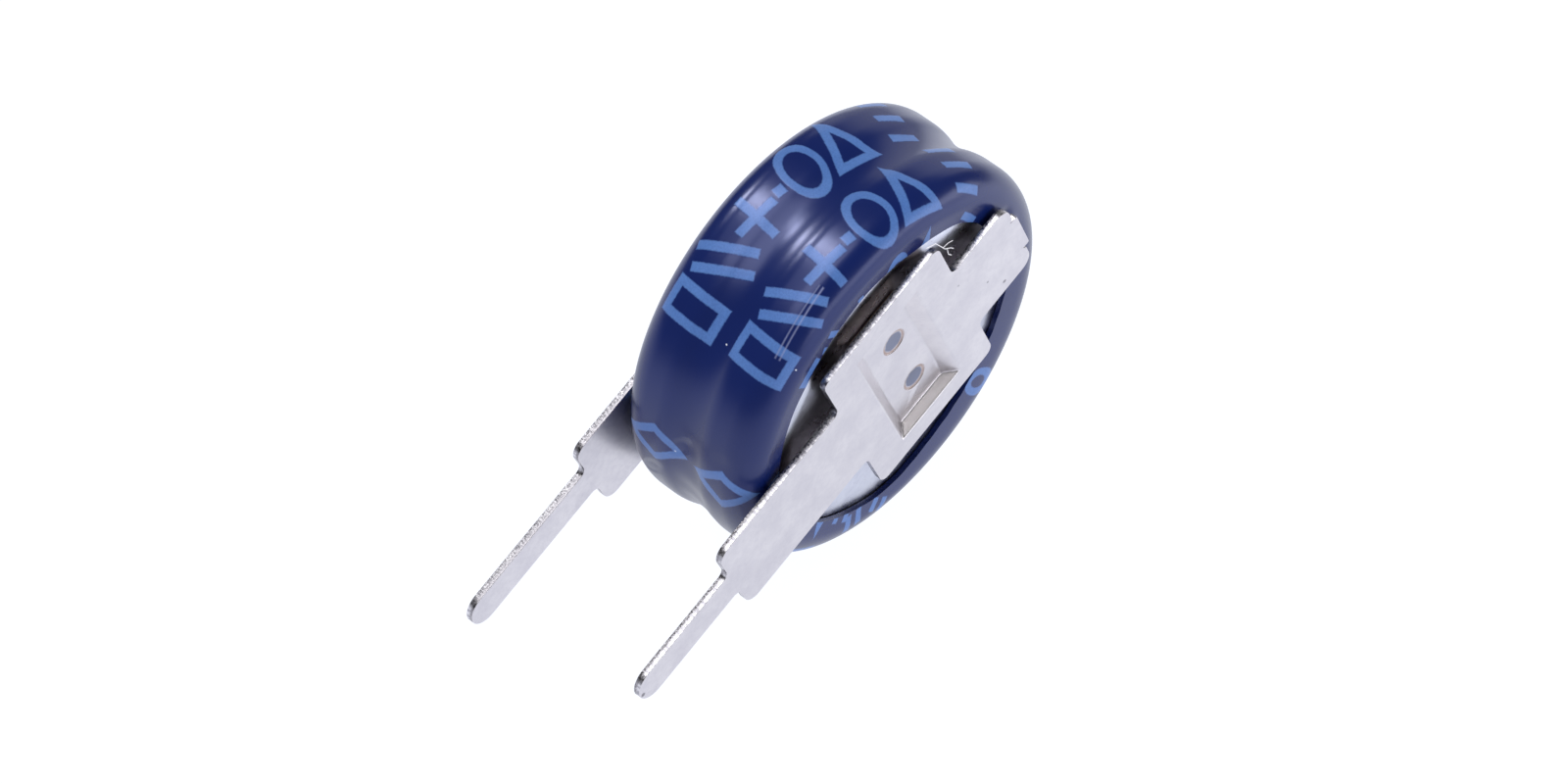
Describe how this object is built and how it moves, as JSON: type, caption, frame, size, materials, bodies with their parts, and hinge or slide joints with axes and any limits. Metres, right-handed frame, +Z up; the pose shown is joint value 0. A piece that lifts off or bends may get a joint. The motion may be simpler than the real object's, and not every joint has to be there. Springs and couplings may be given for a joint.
{
  "type": "supercapacitor",
  "caption": "Coin-type supercapacitor: stacked coin cells in a dark blue shrink sleeve, with a flat stamped terminal and board pin on each face.",
  "frame": {"origin": "centre of the footprint on the surface the part lies on", "axes": "+Y along the cell stack, from the end face with the shorter pin to the one with the longer pin; +X away from the pins; +Z up"},
  "size_m": [0.0164, 0.0052, 0.0118],
  "materials": {
    "sleeve": "dark blue shrunk PVC sleeve, glossy, with pale blue printed marks",
    "terminal": "tin-plated steel strip, satin, with bright sheared edges",
    "can": "deep-drawn stainless steel, smooth",
    "cap": "drawn stainless steel, bright",
    "gasket": "moulded polypropylene, natural",
    "electrode": "pressed activated carbon, matt black",
    "separator": "porous fibre paper, off-white"
  },
  "bodies": {
    "root": {"sleeve": "sleeve", "front_terminal": "terminal", "rear_terminal": "terminal", "front_can": "can", "front_cap": "cap", "front_gasket": "gasket", "front_negative_electrode": "electrode", "front_separator": "separator", "front_positive_electrode": "electrode", "rear_can": "can", "rear_cap": "cap", "rear_gasket": "gasket", "rear_negative_electrode": "electrode", "rear_separator": "separator", "rear_positive_electrode": "electrode"}
  },
  "joints": []
}
